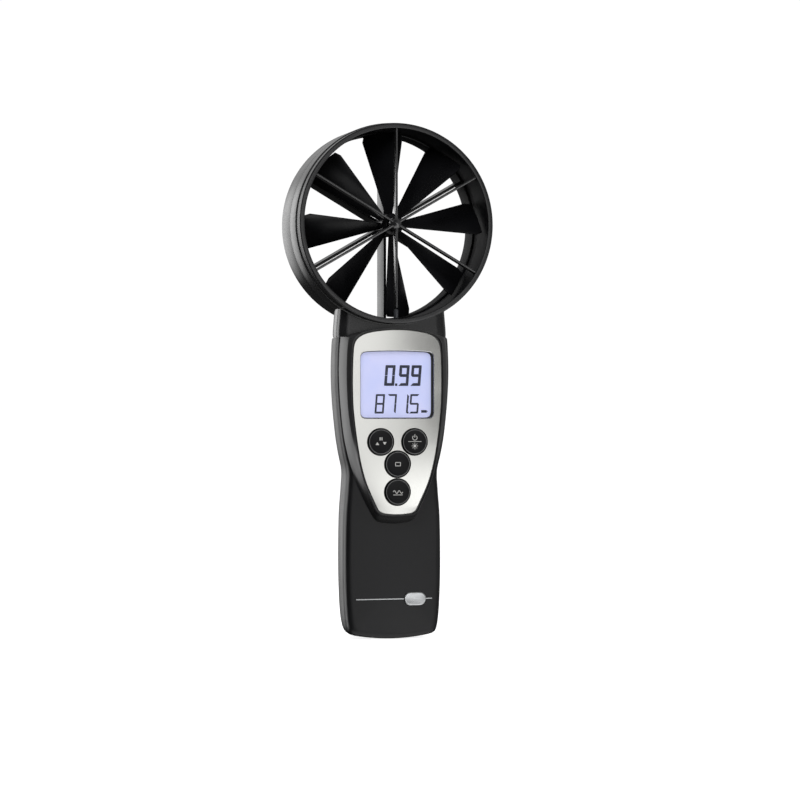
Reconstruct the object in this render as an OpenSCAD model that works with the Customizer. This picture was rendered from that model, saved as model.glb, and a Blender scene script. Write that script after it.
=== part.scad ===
// Hand-held vane anemometer: a ducted rotor on top of a display handle.
// The origin is the centre of the hand grip, on the plane where the housing halves meet.
// +X is to the right as the display is read, +Y points to the back, +Z points up. Millimetres.

/* [Vane head] */
// Bore of the vane duct
duct_bore = 100; // [99.5:0.1:100.5]
// Outside diameter of the duct
duct_od = 106.6; // [106.5:0.1:107]
// Outside diameter of the collar in front that takes a measuring funnel
collar_od = 105.4; // [105.2:0.1:105.5]
// Length of the funnel collar
collar_length = 7; // [6:0.5:7]
// Depth of the duct, front to back
duct_depth = 38; // [37.5:0.5:38.5]
// Height of the vane axis over the centre of the grip
vane_height = 175; // [175:0.5:176]
// How far the middle of the duct lies behind the handle's parting plane
vane_back = 2; // [1.8:0.1:2.2]
// Number of spokes in each guard
spoke_count = 6; // [6:1:6]
// Width of a front spoke
front_spoke_width = 1.2; // [1:0.1:1.6]
// Width of a rear spoke
rear_spoke_width = 1.5; // [1.2:0.1:2]

/* [Rotor] */
// Number of blades
blade_count = 8; // [6:1:8]
// Radius that the blade tips sweep
rotor_radius = 48.9; // [48:0.1:49.2]
// Angle between a blade and the plane of the duct
blade_pitch = 43; // [35:1:43]
// Half of a blade's chord at the tip
blade_half_chord = 13; // [10:0.1:13]
// Thickness of a blade
blade_thickness = 0.8; // [0.6:0.1:0.8]
// Radius of the rotor's hub
hub_radius = 6; // [5:0.5:6]

/* [Handle] */
// Wall thickness of the housing halves
wall = 2; // [1.8:0.1:2.2]
// Depth of the grip in front of the parting plane
grip_front = 10.4; // [10.2:0.1:10.6]
// Depth of the housing behind the parting plane
grip_back = 25.5; // [25:0.1:25.5]
// Distance from the parting plane to the outer face of the keypad plate
plate_front = 17.5; // [17.4:0.1:17.6]
// Thickness of the keypad plate
plate_thickness = 1.2; // [1:0.1:1.2]

/* [Buttons] */
// Diameter of a button's cap
button_diameter = 13.4; // [13:0.1:13.5]
// Clearance round a button's cap
button_gap = 0.4; // [0.3:0.05:0.4]
// Travel of a button
button_travel = 0.8; // [0.6:0.1:0.8]

/* [Hidden] */
$fn = 48;

duct_front = -duct_depth / 2;
bore_r = duct_bore / 2;
duct_r = duct_od / 2;
collar_r = collar_od / 2;
plate_back = -plate_front + plate_thickness;

// Spoke guards, front and rear, and the rotor between them
front_spoke_y = [duct_front + 0.8, duct_front + 5.5];
rear_spoke_y = [5, duct_depth / 2 - 0.5];
rear_ring_y = [4.8, duct_depth / 2 - 0.3];
rear_ring_r = 48.9;
rear_boss_y = [4.6, duct_depth / 2 - 0.1];
rear_boss_r = 5.2;
notch_r = 44.5;
rotor_y = -4.35;
first_blade = 5.3;
boss_r = 3.6;
boss_y = duct_front + boss_r;
shaft_r = 0.75;
bearing_r = 1.6;
bearing_length = 2.4;
shaft_clearance = 0.05;
front_bearing_y = -14.2;
rear_bearing_y = 4.8;
hub_y = [-10.2, 3.4];
magnet_y = 1.2;
magnet_r = [1.8, 4.2];

// Magnetic pickup in the rear boss, and its lead down the lowest rear spoke
pickup_y = [9.6, 15];
pickup_r = 3.4;
lead_y = [9.6, 10.8];
lead_half = 0.35;
ribbon_half = 2;
ribbon_y = [0.4, 1];
lead_turn_z = 121.8;
connector_z = 102.4;
lead_gap = 0.1;

// Neck between the duct and the handle
neck_front = -9.4;
neck_back = 18;
neck_top = 132;
plug = [19.5, 106, -5.5, 11.5];
seam_gap = 0.2;
seam_z = 119.85;
seam_sag = 4.85;
seam_half = 30;
head_screw = [18.5, 122];

// Half-widths of the handle at heights, at the parting plane
handle_sides = [
    [118, 29.9], [111, 30.6], [96, 31], [80, 30.2], [64, 28.5], [54, 26.8], [44.5, 24.8],
    [35, 25.2], [20, 26.3], [-7, 26.6], [-24, 26.1], [-34, 25.3], [-40.5, 24.1]
];
// Half-widths of the opening that takes the keypad plate
plate_sides = [
    [114, 23.9], [108, 24.5], [93, 24.9], [80, 24.6], [72, 23.9], [63.5, 22.9],
    [55, 21.6], [47, 20], [38.5, 17.5], [31, 14.3], [23, 10.5]
];
// Half-widths of the raised display surround where it meets the grip's face
surround_sides = [
    [116, 28.6], [108, 29.3], [96, 29.6], [80, 28.8], [64, 27], [54, 24.9],
    [46, 22.6], [38, 19.9], [28, 15.4], [18.8, 10.2]
];
side_steps = 14;
handle_low = -43.6;
handle_half = 26.5;
plate_low = 21.8;
surround_low = 17.3;
plate_joint = 0.6;
ledge = 1.7;
rim = 0.3;

// Display stack, heights and half-width
window_z = [72.8, 107.6];
window_half = 19.9;
stack_z = [69.6, 111.2];
stack_half = 21.2;

// Buttons: [across, up]
button_places = [[-9.2, 60.5], [9.2, 60.5], [0, 48.8], [0, 34.2]];
button_r = button_diameter / 2;
button_proud = 0.8;
stem_end = -9.6;

// Circuit board, its fixings and the posts that join the housing halves
board_y = [-7.6, -6];
board_half = 19.5;
board_screw_places = [[-16.5, 30], [16.5, 30]];
post_places = [[-24.3, 98.3], [24.3, 98.3], [-18.6, -27], [18.6, -27]];
post_r = 2.3;
post_back = 18.5;
screw_seat = 15.6;
screw_r = 1.2;
screw_head_r = 2;

// Battery bay and its cover, which slides down
bay_half = 13.8;
bay_z = [-32.5, 22.5];
bay_floor = 1;
cover_half = 15.3;
cover_top = 24;
tongue = 2;
slide_gap = 0.3;
battery_size = [26.2, 17.2, 48];
battery_at = [0, 10.9, -32];
terminal_x = 6.4;

badge_at = [11.5, -22.4];
badge_size = [12, 7];
trim_z = -22.6;

function mix(a, b, t) = a + (b - a) * t;
function eased(t) = let (u = max(0, min(1, t))) u * u * (3 - 2 * u);

// Slope of a station list at entry i, from its neighbours
function slope(s, i) =
    let (a = max(i - 1, 0), b = min(i + 1, len(s) - 1))
    (s[b][1] - s[a][1]) / (s[b][0] - s[a][0]);

// Value at height z on the smooth curve through stations listed from the top down
function half_at(s, z, i = 0) =
    i < len(s) - 2 && z < s[i + 1][0] ? half_at(s, z, i + 1) :
    let (h = s[i + 1][0] - s[i][0], t = max(0, min(1, (z - s[i][0]) / h)))
    s[i][1] * (2 * t ^ 3 - 3 * t ^ 2 + 1) + s[i + 1][1] * (3 * t ^ 2 - 2 * t ^ 3)
    + h * slope(s, i) * (t ^ 3 - 2 * t ^ 2 + t) + h * slope(s, i + 1) * (t ^ 3 - t ^ 2);

// Height of the arched seam at a distance x from the middle
function seam_at(x) = seam_z - seam_sag * (x / seam_half) ^ 2;

// Closed outline with smooth sides, an arched top and a bowed foot
function outline(sides, low, grow = 0) =
    let (
        z_high = sides[0][0],
        z_foot = sides[len(sides) - 1][0],
        x_high = half_at(sides, z_high) + grow,
        x_foot = half_at(sides, z_foot) + grow,
        bow = z_foot - low,
        right = [for (i = [0:side_steps])
            let (z = mix(min(z_high, seam_at(x_high)), z_foot, i / side_steps))
            [half_at(sides, z) + grow, z + grow * (1 - 2 * i / side_steps)]],
        foot = [for (t = [0.93, 0.72, 0.48, 0.24, 0, -0.24, -0.48, -0.72, -0.93])
            [x_foot * t, low - grow + bow * 0.86 * t ^ 2]],
        left = [for (i = [side_steps:-1:0]) [-right[i][0], right[i][1]]],
        top = [for (t = [-0.9, -0.6, -0.3, 0, 0.3, 0.6, 0.9]) [x_high * t, seam_at(x_high * t) + grow]]
    )
    concat(right, foot, left, top);

handle_shape = outline(handle_sides, handle_low);
handle_length = seam_z - handle_low;

// The handle's outline drawn in by inset, at depth y, with its top lowered by drop
function handle_ring(inset, y, drop = 0) = [for (p = handle_shape)
    [p[0] * (1 - inset / handle_half), y,
     seam_z - drop + (p[1] - seam_z) * (1 - (inset + drop) / handle_length)]];

// The front corner turns in less beside the display, where the surround carries the side on
function front_ring(inset, y) = [for (p = handle_shape)
    let (turn = inset * mix(1, 0.55, eased((p[1] - 45) / 20)))
    [p[0] * (1 - turn / handle_half), y, seam_z + (p[1] - seam_z) * (1 - turn / handle_length)]];

function plate_ring(grow, y) = [for (p = outline(plate_sides, plate_low, grow)) [p[0], y, p[1]]];
function surround_ring(y) = [for (p = outline(surround_sides, surround_low)) [p[0], y, p[1]]];

// Crease between the surround's side and the bevel beside the plate, which narrows downwards
function crease_ring(y) = let (foot = surround_ring(y), edge = plate_ring(rim, y))
    [for (i = [0:len(foot) - 1]) mix(foot[i], edge[i], mix(0.55, 0.8, eased((80 - edge[i][2]) / 35)))];

// An outline's flat face cut into strips between its mirrored points, because it is not convex
strip_sum = 2 * side_steps + 10;
function strips(n) = [for (k = [strip_sum / 2:-1:(strip_sum - n) / 2 + 1])
    let (
        a = (k - 1 + n) % n,
        b = (k + n) % n,
        c = (strip_sum - k + n) % n,
        d = (strip_sum - k + 1 + n) % n
    )
    b == c ? [a, b, d] : a == d ? [a, b, c] : [a, b, c, d]];

// Solid skinned over a chain of rings that run clockwise as seen from the far end of the chain;
// closed = true joins the last ring to the first, and outlined = true ends it in strips
module skin(rings, closed = false, outlined = false) {
    n = len(rings[0]);
    m = len(rings);
    walls = [for (k = [0:(closed ? m - 1 : m - 2)]) for (i = [0:n - 1]) for (half = [0, 1])
        let (j = (i + 1) % n, a = k * n, b = ((k + 1) % m) * n)
        half == 0 ? [a + i, a + j, b + j] : [a + i, b + j, b + i]];
    caps = closed ? [] :
        outlined ? [for (f = strips(n)) each
            [[for (i = [len(f) - 1:-1:0]) f[i]], [for (i = f) (m - 1) * n + i]]] :
        [[for (i = [n - 1:-1:0]) i], [for (i = [0:n - 1]) (m - 1) * n + i]];
    polyhedron([for (r = rings) for (p = r) p], concat(walls, caps), convexity = 8);
}

// Cylinder along Y from y0 to y1 at [x, z]
module rod(at, y0, y1, r, r2 = undef) {
    translate([at[0], y0, at[1]]) rotate([-90, 0, 0])
        cylinder(h = y1 - y0, r1 = r, r2 = is_undef(r2) ? r : r2);
}

// Box given by its x, y and z limits
module block(x, y, z) {
    translate([x[0], y[0], z[0]]) cube([x[1] - x[0], y[1] - y[0], z[1] - z[0]]);
}

// Flat plate along Y with a given outline in X and Z
module plate(points, y0, y1) {
    translate([0, y1, 0]) rotate([90, 0, 0]) linear_extrude(height = y1 - y0) polygon(points);
}

module at_vane() {
    translate([0, vane_back, vane_height]) children();
}

// ---- Vane head ----

// Front view of the neck, from the duct down to the arched seam
neck_shape = concat(
    [[-29, neck_top], [29, neck_top], [29.7, 124], [30, seam_at(30) + seam_gap]],
    [for (t = [0.8, 0.6, 0.4, 0.2, 0, -0.2, -0.4, -0.6, -0.8])
        [30 * t, seam_at(30 * t) + seam_gap]],
    [[-30, seam_at(30) + seam_gap], [-29.7, 124]]);

// Top view of the neck, with its rounded long sides
neck_section = [
    [-30.2, -2], [-30.3, -5.4], [-29.4, -8], [-26, neck_front], [26, neck_front], [29.4, -8],
    [30.3, -5.4], [30.2, -2], [29.8, 4], [28.8, 8], [27.5, 13], [25.2, 16.6], [22.8, neck_back],
    [-22.8, neck_back], [-25.2, 16.6], [-27.5, 13], [-28.8, 8], [-29.8, 4]
];

module neck_half(y0, y1) {
    intersection() {
        plate(neck_shape, y0, y1);
        translate([0, 0, plug[1]]) linear_extrude(height = neck_top - plug[1])
            polygon(neck_section);
    }
    block([-plug[0], plug[0]], [max(y0, plug[2]), min(y1, plug[3])], [plug[1], 120.5]);
}

// Cuts shared by both halves of the head: bore, lead channels and screw holes
module head_cuts() {
    at_vane() rod([0, 0], -30, 30, bore_r, $fn = 96);
    block([-3.4, 3.4], [-2, 3.4], [plug[1] - 1, 123]);
    block([-3.4, 3.4], [-2, vane_back + lead_y[1] + 0.4], [121.3, 123]);
    block([-lead_half - lead_gap, lead_half + lead_gap],
        [vane_back + lead_y[0] - lead_gap, vane_back + lead_y[1] + lead_gap],
        [122, vane_height - bore_r + 1]);
    for (side = [-1, 1]) rod([side * head_screw[0], head_screw[1]], -4, 20, screw_r);
}

module head_front_shell() {
    color("#26272a") difference() {
        union() {
            at_vane() rod([0, 0], duct_front, duct_front + 0.4, collar_r - 0.4, collar_r, $fn = 96);
            at_vane() rod([0, 0], duct_front + 0.4, duct_front + collar_length, collar_r, $fn = 96);
            at_vane() rod([0, 0], duct_front + collar_length, 0, duct_r, $fn = 96);
            neck_half(neck_front, vane_back);
        }
        head_cuts();
    }
}

module head_rear_shell() {
    color("#26272a") difference() {
        union() {
            at_vane() rod([0, 0], 0, duct_depth / 2, duct_r, $fn = 96);
            neck_half(vane_back, neck_back);
        }
        head_cuts();
        for (side = [-1, 1]) rod([side * head_screw[0], head_screw[1]], neck_back - 2.6, 22, 2.5);
    }
}

// Spokes from the boss out to the bore; the lowest may be cut back where the sensor sits
module spokes(y, width) {
    intersection() {
        for (i = [0:spoke_count - 1]) rotate([0, 90 + i * 360 / spoke_count, 0])
            block([0, bore_r + 1], y, [-width / 2, width / 2]);
        rod([0, 0], y[0] - 1, y[1] + 1, bore_r, $fn = 96);
    }
}

module front_guard() {
    color("#17181a") at_vane() difference() {
        union() {
            spokes(front_spoke_y, front_spoke_width);
            translate([0, boss_y, 0]) sphere(r = boss_r);
        }
        rod([0, 0], front_bearing_y, 0, bearing_r);
        rod([0, 0], front_bearing_y - 1.2, 0, shaft_r + 0.3);
        block([-3, 3], [-30, front_spoke_y[1] - 1.3], [-bore_r - 1, -notch_r]);
    }
}

module rear_guard() {
    color("#17181a") at_vane() difference() {
        union() {
            spokes(rear_spoke_y, rear_spoke_width);
            rod([0, 0], rear_boss_y[0], rear_boss_y[1], rear_boss_r);
            difference() {
                rod([0, 0], rear_ring_y[0], rear_ring_y[1], bore_r, $fn = 96);
                rod([0, 0], 0, 30, rear_ring_r, $fn = 96);
            }
        }
        rod([0, 0], 0, rear_bearing_y + bearing_length, bearing_r);
        rod([0, 0], 0, rear_bearing_y + bearing_length + 1.2, shaft_r + 0.3);
        rod([0, 0], pickup_y[0] - lead_gap, 30, pickup_r + lead_gap);
        block([-lead_half - lead_gap, lead_half + lead_gap], [lead_y[0] - lead_gap, lead_y[1] + lead_gap],
            [-bore_r - 1, -pickup_r]);
    }
}

// Cap that closes the rear boss behind the pickup
module boss_cap() {
    color("#17181a") at_vane() {
        rod([0, 0], pickup_y[1], rear_boss_y[1] - 0.8, pickup_r);
        rod([0, 0], rear_boss_y[1] - 0.8, rear_boss_y[1] + 0.1, pickup_r, pickup_r - 0.9);
    }
}

module bearing(y0) {
    color("#c9a648") at_vane() difference() {
        rod([0, 0], y0, y0 + bearing_length, bearing_r);
        rod([0, 0], y0 - 1, y0 + bearing_length + 1, shaft_r + shaft_clearance);
    }
}

module front_bearing() {
    bearing(front_bearing_y);
}

module rear_bearing() {
    bearing(rear_bearing_y);
}

module rotor_shaft() {
    color("#b9bcc0") at_vane()
        rod([0, 0], front_bearing_y - 0.6, rear_bearing_y + bearing_length + 0.6, shaft_r);
}

// Place children in the plane of blade i: X along the blade, Z along its chord
module in_blade(i) {
    rotate([0, -first_blade - i * 360 / blade_count, 0])
        translate([0, rotor_y, 0]) rotate([-blade_pitch, 0, 0]) children();
}

// A blade widens with its radius and has clipped tip corners
blade_shape = let (c = blade_half_chord, k = c / rotor_radius) [
    [4, -4 * k - 0.6], [rotor_radius - 4, -c * 0.92], [rotor_radius + 1, -c * 0.84],
    [rotor_radius + 1, c * 0.84], [rotor_radius - 4, c * 0.92], [4, 4 * k + 0.6]
];

module blade(i) {
    in_blade(i) plate(blade_shape, -blade_thickness / 2, blade_thickness / 2);
}

module rotor() {
    color("#1d1e20") at_vane() difference() {
        union() {
            intersection() {
                for (i = [0:blade_count - 1]) blade(i);
                rod([0, 0], -30, 30, rotor_radius, $fn = 96);
            }
            rod([0, 0], hub_y[0], hub_y[1], hub_radius);
            rod([0, 0], hub_y[0] - 1.2, hub_y[0], hub_radius - 1.6, hub_radius);
        }
        rod([0, 0], -20, 20, shaft_r);
        magnet_ring(magnet_y, 20);
    }
}

module magnet_ring(y0, y1) {
    difference() {
        rod([0, 0], y0, y1, magnet_r[1]);
        rod([0, 0], y0 - 1, y1 + 1, magnet_r[0]);
    }
}

module rotor_magnet() {
    color("#5a5d61") at_vane() magnet_ring(magnet_y, hub_y[1]);
}

module pickup_sensor() {
    color("#3c4046") at_vane() rod([0, 0], pickup_y[0], pickup_y[1], pickup_r);
}

module temperature_sensor() {
    color("#101112") at_vane() intersection() {
        translate([0, duct_front + 2.6, 0]) {
            translate([0, 0, -bore_r - 1]) cylinder(h = 5, r = 1.2);
            translate([0, 0, -bore_r + 4]) sphere(r = 1.2);
        }
        rod([0, 0], -30, 30, bore_r, $fn = 96);
    }
}

module sensor_leads() {
    color("#c8ccd0") {
        block([-lead_half, lead_half], [vane_back + lead_y[0], vane_back + lead_y[1]],
            [lead_turn_z + 0.6, vane_height - pickup_r]);
        block([-ribbon_half, ribbon_half], [ribbon_y[0], vane_back + lead_y[1]],
            [lead_turn_z, lead_turn_z + 0.6]);
        block([-ribbon_half, ribbon_half], ribbon_y, [connector_z + 0.6, lead_turn_z]);
        block([-ribbon_half, ribbon_half], [-2.4, ribbon_y[1]], [connector_z, connector_z + 0.6]);
    }
}

module neck_seal() {
    color("#2b2b2b") difference() {
        block([-plug[0], plug[0]], [plug[2], plug[3]], [plug[1] - 1.2, plug[1]]);
        block([-plug[0] + 2, plug[0] - 2], [plug[2] + 2, plug[3] - 2], [plug[1] - 2, plug[1] + 1]);
    }
}

// Pan-head screw along Y: the head's top is at y, the shank runs forwards
module screw(at, y, length, head_r, shank_r) {
    difference() {
        union() {
            rod(at, y - 1.8, y, head_r);
            rod(at, y - length, y - 1.8, shank_r);
        }
        block([at[0] - head_r * 0.6, at[0] + head_r * 0.6], [y - 0.8, y + 1], [at[1] - 0.3, at[1] + 0.3]);
        block([at[0] - 0.3, at[0] + 0.3], [y - 0.8, y + 1], [at[1] - head_r * 0.6, at[1] + head_r * 0.6]);
    }
}

module head_screws() {
    color("#8d9196") for (side = [-1, 1])
        screw([side * head_screw[0], head_screw[1]], neck_back - 0.8, 20, 2.3, screw_r);
}

// ---- Handle ----

rear_outside = [handle_ring(9, grip_back, 13), handle_ring(6.1, 23.4, 8), handle_ring(4.4, 20, 3.6),
    handle_ring(2.9, 15, 0.8), handle_ring(1.3, 8.5), handle_ring(0.15, 0)];
rear_inside = [handle_ring(wall + 0.15, 0, wall), handle_ring(wall + 1.3, 8.5, wall),
    handle_ring(wall + 2.9, 15, wall + 2), handle_ring(wall + 4.9, 20, wall + 6.4),
    handle_ring(wall + 8, grip_back - wall, wall + 13)];

module post(at, y0, y1) {
    rod(at, y0, y1, post_r);
}

module plug_mouth() {
    block([-plug[0] - seam_gap, plug[0] + seam_gap], [plug[2] - seam_gap, plug[3] + seam_gap], [112, 122]);
}

// Opening behind the display and the buttons
front_opening = [for (side = [1, -1]) for (p = side > 0
    ? [[9, 26], [17, 46], [21.7, 69], [21.7, 112.9]]
    : [[21.7, 112.9], [21.7, 69], [17, 46], [9, 26]]) [side * p[0], p[1]]];

module front_shell() {
    color("#2a2b2e") difference() {
        union() {
            skin([handle_ring(wall + 2, -grip_front + wall, wall), handle_ring(wall + 0.6, -6.4, wall),
                handle_ring(wall + 0.15, 0, wall), handle_ring(0.15, 0), front_ring(0, -5),
                front_ring(0.6, -8.3), front_ring(1.2, -9.6), front_ring(2.1, -grip_front)],
                outlined = true);
            for (at = post_places) post(at, -grip_front + wall - 0.5, 0);
            for (at = board_screw_places) rod(at, -grip_front + wall - 0.5, board_y[0], 2);
        }
        plate(front_opening, -12, -8);
        plug_mouth();
        for (at = post_places) rod(at, -7, 1, screw_r);
        for (at = board_screw_places) rod(at, board_y[0] - 1.6, 0, 0.8);
        badge_slot();
        trim_slot();
    }
}

// The bay walls and rails that carry the battery and its cover
module bay_walls() {
    block([-bay_half - 1.2, bay_half + 1.2], [bay_floor - 1, 22.5], [bay_z[0] - 1.2, bay_z[1] + 1.2]);
    for (side = [-1, 1]) block([side * 16.6 - 1.9, side * 16.6 + 1.9], [18.6, 24], [-23.5, bay_z[1] + 1.2]);
}

// Room for the cover: its outer panel and the tongues under the housing's lips
module cover_slot() {
    block([-cover_half - slide_gap, cover_half + slide_gap], [21, 30], [-50, cover_top + slide_gap]);
    block([-cover_half - tongue - slide_gap, cover_half + tongue + slide_gap], [21, 23.2],
        [-50, cover_top + slide_gap]);
}

module rear_shell() {
    color("#2a2b2e") difference() {
        union() {
            skin(concat(rear_outside, rear_inside), outlined = true);
            bay_walls();
            for (at = post_places) post(at, 0, post_back);
        }
        block([-bay_half, bay_half], [bay_floor, 22], bay_z);
        block([-4, 4], [5, 14], [bay_z[1] - 1, bay_z[1] + 3]);
        cover_slot();
        plug_mouth();
        for (at = post_places) {
            rod(at, -1, 30, screw_r);
            rod(at, screw_seat, 30, screw_head_r + 0.2);
        }
    }
}

module housing_screws() {
    color("#8d9196") for (at = post_places)
        screw(at, screw_seat + 1.8, screw_seat + 8.2, screw_head_r, screw_r);
}

module battery_cover() {
    color("#242528") difference() {
        intersection() {
            skin(rear_outside, outlined = true);
            union() {
                block([-cover_half, cover_half], [22.8, 30], [-50, cover_top]);
                block([-cover_half - tongue, cover_half + tongue], [21.3, 22.9], [-50, cover_top]);
            }
        }
        for (i = [0:4]) block([-7, 7], [grip_back - 0.6, grip_back + 1], [8 + 2.2 * i, 9 + 2.2 * i]);
    }
}

module display_surround() {
    color("#2e2f32") skin([surround_ring(-grip_front), crease_ring(-16.1), plate_ring(rim, -plate_front),
        plate_ring(0, -plate_front), plate_ring(0, plate_back), plate_ring(-ledge, plate_back),
        plate_ring(-ledge, -grip_front)], closed = true);
}

// Window opening with an arched top
window_shape = concat([[window_half, window_z[1] - 4], [window_half, window_z[0]],
    [-window_half, window_z[0]], [-window_half, window_z[1] - 4]],
    [for (a = [165:-30:105]) [-window_half + 4 + 4 * cos(a), window_z[1] - 4 + 4 * sin(a)]],
    [[0, window_z[1] + 0.7]],
    [for (a = [75:-30:15]) [window_half - 4 + 4 * cos(a), window_z[1] - 4 + 4 * sin(a)]]);

module keypad_plate() {
    color("#b9bab6") difference() {
        plate(outline(plate_sides, plate_low, -plate_joint), -plate_front, plate_back);
        plate(window_shape, -20, -10);
        for (at = button_places) rod(at, -20, -10, button_r + button_gap);
    }
}

module display_window() {
    color("#cfd6e6", 0.4)
        block([-stack_half, stack_half], [plate_back, plate_back + 1], [70.6, 110.4]);
}

module display_holder() {
    color("#d8d8d4") difference() {
        block([-stack_half, stack_half], [plate_back + 1.2, board_y[0]], stack_z);
        block([-stack_half + 1.1, stack_half - 1.1], [-20, 0], [stack_z[0] + 1.1, stack_z[1] - 1.1]);
    }
}

module display_glass() {
    color("#b4b9d8") block([-20, 20], [-14.9, -12.7], [70.8, 110]);
}

module backlight() {
    color("#f0efe6") block([-19.4, 19.4], [-12.6, -10.6], [73.4, 107.4]);
}

module contact_strips() {
    color("#4a4a4c") for (z = [71, 108.2])
        block([-18, 18], [-12.7, board_y[0]], [z, z + 1.6]);
}

module circuit_board() {
    color("#1f6b3a") difference() {
        union() {
            block([-board_half, board_half], board_y, [44, 111]);
            block([-board_half + 1, board_half - 1], board_y, [26, 44]);
        }
        for (at = board_screw_places) rod(at, -10, 0, 1);
    }
}

module processor_chip() {
    color("#17181a") block([-5, 5], [board_y[1], board_y[1] + 1.4], [70, 80]);
}

module board_parts() {
    for (at = [[-12, 84], [-12, 78], [-12, 72], [12, 66], [12, 72], [9, 90], [-9, 92]])
        color("#b98d52")
            block([at[0] - 1, at[0] + 1], [board_y[1], board_y[1] + 0.9], [at[1] - 0.6, at[1] + 0.6]);
    color("#c3c6c9") block([10, 14.6], [board_y[1], board_y[1] + 3.4], [78, 88]);
    color("#e6e1d2") block([-4, 4], [board_y[1], board_y[1] + 3.6], [98, 102.4]);
    color("#e6e1d2") block([-4, 4], [board_y[1], board_y[1] + 3.6], [36, 40]);
    color("#22305a") for (x = [-13, 13]) rod([x, 56], board_y[1], board_y[1] + 5, 2.6);
}

module key_mat() {
    color("#8f9294") {
        intersection() {
            plate(outline(plate_sides, plate_low, -4.5), board_y[0] - 0.5, board_y[0]);
            block([-30, 30], [-10, 0], [20, stack_z[0] - 0.6]);
        }
        for (at = button_places) rod(at, stem_end + button_travel + 0.1, board_y[0] - 0.5, 3);
    }
}

// Button with a dished cap edge, two side tabs that hold it under the plate, and a stem
module button(at) {
    color("#141518") {
        rod(at, -plate_front - button_proud, -plate_front - button_proud + 0.5, button_r - 0.5, button_r);
        rod(at, -plate_front - button_proud + 0.5, -13.5, button_r);
        block([at[0] - 7.9, at[0] + 7.9], [plate_back + 0.3, plate_back + 1.6], [at[1] - 1.8, at[1] + 1.8]);
        rod(at, -13.5, stem_end, 2);
    }
}

module button_left() {
    button(button_places[0]);
}

module button_right() {
    button(button_places[1]);
}

module button_upper() {
    button(button_places[2]);
}

module button_lower() {
    button(button_places[3]);
}

module board_screws() {
    color("#8d9196") for (at = board_screw_places) screw(at, board_y[1] + 1.8, 4.6, 1.8, 0.8);
}

module battery() {
    color("#3a4a63") {
        translate(battery_at - [battery_size[0], battery_size[1], 0] / 2) cube(battery_size);
        for (side = [-1, 1]) translate(battery_at + [side * terminal_x, 0, battery_size[2]])
            cylinder(h = 2.6, r = side > 0 ? 4 : 2.9);
    }
}

module battery_connector() {
    color("#161616") translate(battery_at + [0, 0, battery_size[2] + 2.7])
        translate([-13, -6, 0]) cube([26, 12, 2.6]);
}

// Two leads from the battery connector to the board
lead_path = [[0, 10, 21.8], [0, 9, 25], [0, 5, 28], [0, 1, 31], [0, -1, 35], [0, -1.7, 38]];
lead_r = 0.7;

module lead(x) {
    skin([for (p = lead_path) [for (a = [315:-45:0]) [x + lead_r * cos(a), p[1] + lead_r * sin(a) * 0.8,
        p[2] + lead_r * sin(a) * 0.6]]]);
}

module battery_leads() {
    color("#b03030") lead(-2);
    color("#202020") lead(2);
}

module battery_pad() {
    color("#55585c") block([-10, 10], [bay_floor, bay_floor + 1.2], [-28, 12]);
}

// Pill outline centred at [x, z]
function pill(at, size, grow = 0) = let (r = size[1] / 2 + grow, c = (size[0] - size[1]) / 2)
    [for (a = [-90:15:90]) [at[0] + c + r * cos(a), at[1] + r * sin(a)],
     for (a = [90:15:270]) [at[0] - c + r * cos(a), at[1] + r * sin(a)]];

module badge_slot() {
    plate(pill(badge_at, badge_size), -20, -grip_front + 0.8);
}

module trim_slot() {
    block([-20.5, 21], [-20, -grip_front + 0.5], [trim_z, trim_z + 0.6]);
}

module blank_badge() {
    color("#9ea2a6") plate(pill(badge_at, badge_size), -grip_front - 0.5, -grip_front + 0.8);
}

module trim_strip() {
    color("#b8bbbe") difference() {
        block([-20.5, 21], [-grip_front - 0.1, -grip_front + 0.5], [trim_z, trim_z + 0.6]);
        badge_slot();
    }
}

head_front_shell();
head_rear_shell();
front_guard();
rear_guard();
front_bearing();
rear_bearing();
rotor();
rotor_shaft();
rotor_magnet();
pickup_sensor();
boss_cap();
temperature_sensor();
sensor_leads();
neck_seal();
head_screws();
front_shell();
rear_shell();
display_surround();
keypad_plate();
display_window();
display_glass();
display_holder();
backlight();
contact_strips();
circuit_board();
processor_chip();
board_parts();
key_mat();
button_left();
button_right();
button_upper();
button_lower();
board_screws();
housing_screws();
battery();
battery_connector();
battery_leads();
battery_pad();
battery_cover();
trim_strip();
blank_badge();
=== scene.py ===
import math

import bmesh
import bpy
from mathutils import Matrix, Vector

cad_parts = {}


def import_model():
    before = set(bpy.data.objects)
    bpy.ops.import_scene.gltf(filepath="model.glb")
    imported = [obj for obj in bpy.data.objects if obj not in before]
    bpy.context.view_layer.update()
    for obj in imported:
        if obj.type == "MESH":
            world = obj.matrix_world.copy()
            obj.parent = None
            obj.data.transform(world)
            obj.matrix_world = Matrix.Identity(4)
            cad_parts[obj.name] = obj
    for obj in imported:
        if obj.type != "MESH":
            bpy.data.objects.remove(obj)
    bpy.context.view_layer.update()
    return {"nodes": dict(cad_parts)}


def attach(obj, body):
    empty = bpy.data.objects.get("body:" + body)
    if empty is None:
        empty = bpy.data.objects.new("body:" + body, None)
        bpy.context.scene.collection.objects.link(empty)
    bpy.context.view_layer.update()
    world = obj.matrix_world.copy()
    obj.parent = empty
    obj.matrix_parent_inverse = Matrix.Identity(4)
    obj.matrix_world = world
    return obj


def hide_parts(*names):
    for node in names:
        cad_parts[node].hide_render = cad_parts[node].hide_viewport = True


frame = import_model()

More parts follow.
